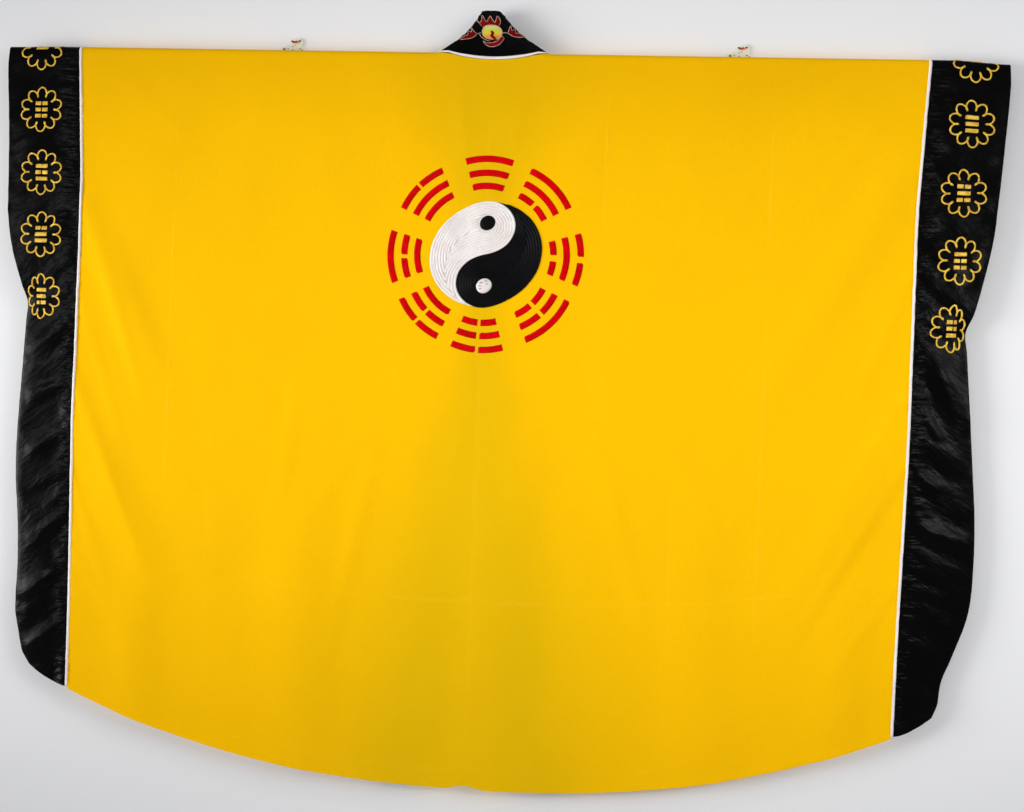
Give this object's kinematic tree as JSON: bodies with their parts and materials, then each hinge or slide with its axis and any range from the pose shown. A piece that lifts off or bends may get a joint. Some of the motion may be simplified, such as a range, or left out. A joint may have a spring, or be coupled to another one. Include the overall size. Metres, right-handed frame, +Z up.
{
  "type": "taoist robe hung on a rod and two wall hooks",
  "caption": "Wide-sleeved yellow vestment with black sleeve bands, folded collar, white piping and a back emblem, hung on a rod by two wall hooks.",
  "frame": {"origin": "on the wall, level with the axis of the rod that the robe hangs on, midway between the sleeves at the centre back seam", "axes": "+X from the left sleeve to the right one as seen from the room, +Y into the wall, +Z up; the robe's back faces the room, along -Y"},
  "size_m": [1.803, 0.0406, 1.3933],
  "materials": {
    "yellow_cloth": "bright yellow polyester plain weave, soft low sheen, pressed creases",
    "black_satin": "black polyester satin with broad soft highlights, puckered at its seams",
    "white_piping": "white cord piping, matt",
    "red_satin": "red satin applique edged with dense stitching",
    "ivory_thread": "ivory couched floss, silky along the thread",
    "gold_thread": "gold couched metallic thread",
    "rod_wood": "turned softwood dowel, oiled",
    "hook_enamel": "white enamel with small red and gold flowers"
  },
  "bodies": {
    "root": {"bar_left_inner": "red_satin", "bar_left_middle_a": "red_satin", "bar_left_middle_b": "red_satin", "bar_left_outer": "red_satin", "bar_low_inner_a": "red_satin", "bar_low_inner_b": "red_satin", "bar_low_left_inner": "red_satin", "bar_low_left_middle_a": "red_satin", "bar_low_left_middle_b": "red_satin", "bar_low_left_outer_a": "red_satin", "bar_low_left_outer_b": "red_satin", "bar_low_middle_a": "red_satin", "bar_low_middle_b": "red_satin", "bar_low_outer_a": "red_satin", "bar_low_outer_b": "red_satin", "bar_low_right_inner_a": "red_satin", "bar_low_right_inner_b": "red_satin", "bar_low_right_middle_a": "red_satin", "bar_low_right_middle_b": "red_satin", "bar_low_right_outer": "red_satin", "bar_right_inner_a": "red_satin", "bar_right_inner_b": "red_satin", "bar_right_middle": "red_satin", "bar_right_outer_a": "red_satin", "bar_right_outer_b": "red_satin", "bar_top_inner": "red_satin", "bar_top_left_inner": "red_satin", "bar_top_left_middle": "red_satin", "bar_top_left_outer_a": "red_satin", "bar_top_left_outer_b": "red_satin", "bar_top_middle": "red_satin", "bar_top_outer": "red_satin", "bar_top_right_inner_a": "red_satin", "bar_top_right_inner_b": "red_satin", "bar_top_right_middle": "red_satin", "bar_top_right_outer": "red_satin", "body_back_left": "yellow_cloth", "body_back_right": "yellow_cloth", "body_front_left": "yellow_cloth", "body_front_right": "yellow_cloth", "collar_left": "black_satin", "collar_right": "black_satin", "cuff_back_left": "black_satin", "cuff_back_right": "black_satin", "cuff_front_left": "black_satin", "cuff_front_right": "black_satin", "dot_black": "black_satin", "dot_white": "ivory_thread", "emblem_black": "black_satin", "emblem_white": "ivory_thread", "hook_left": "hook_enamel", "hook_right": "hook_enamel", "piping_collar_left": "white_piping", "piping_collar_right": "white_piping", "piping_side_left": "white_piping", "piping_side_right": "white_piping", "rod": "rod_wood"}
  },
  "joints": []
}
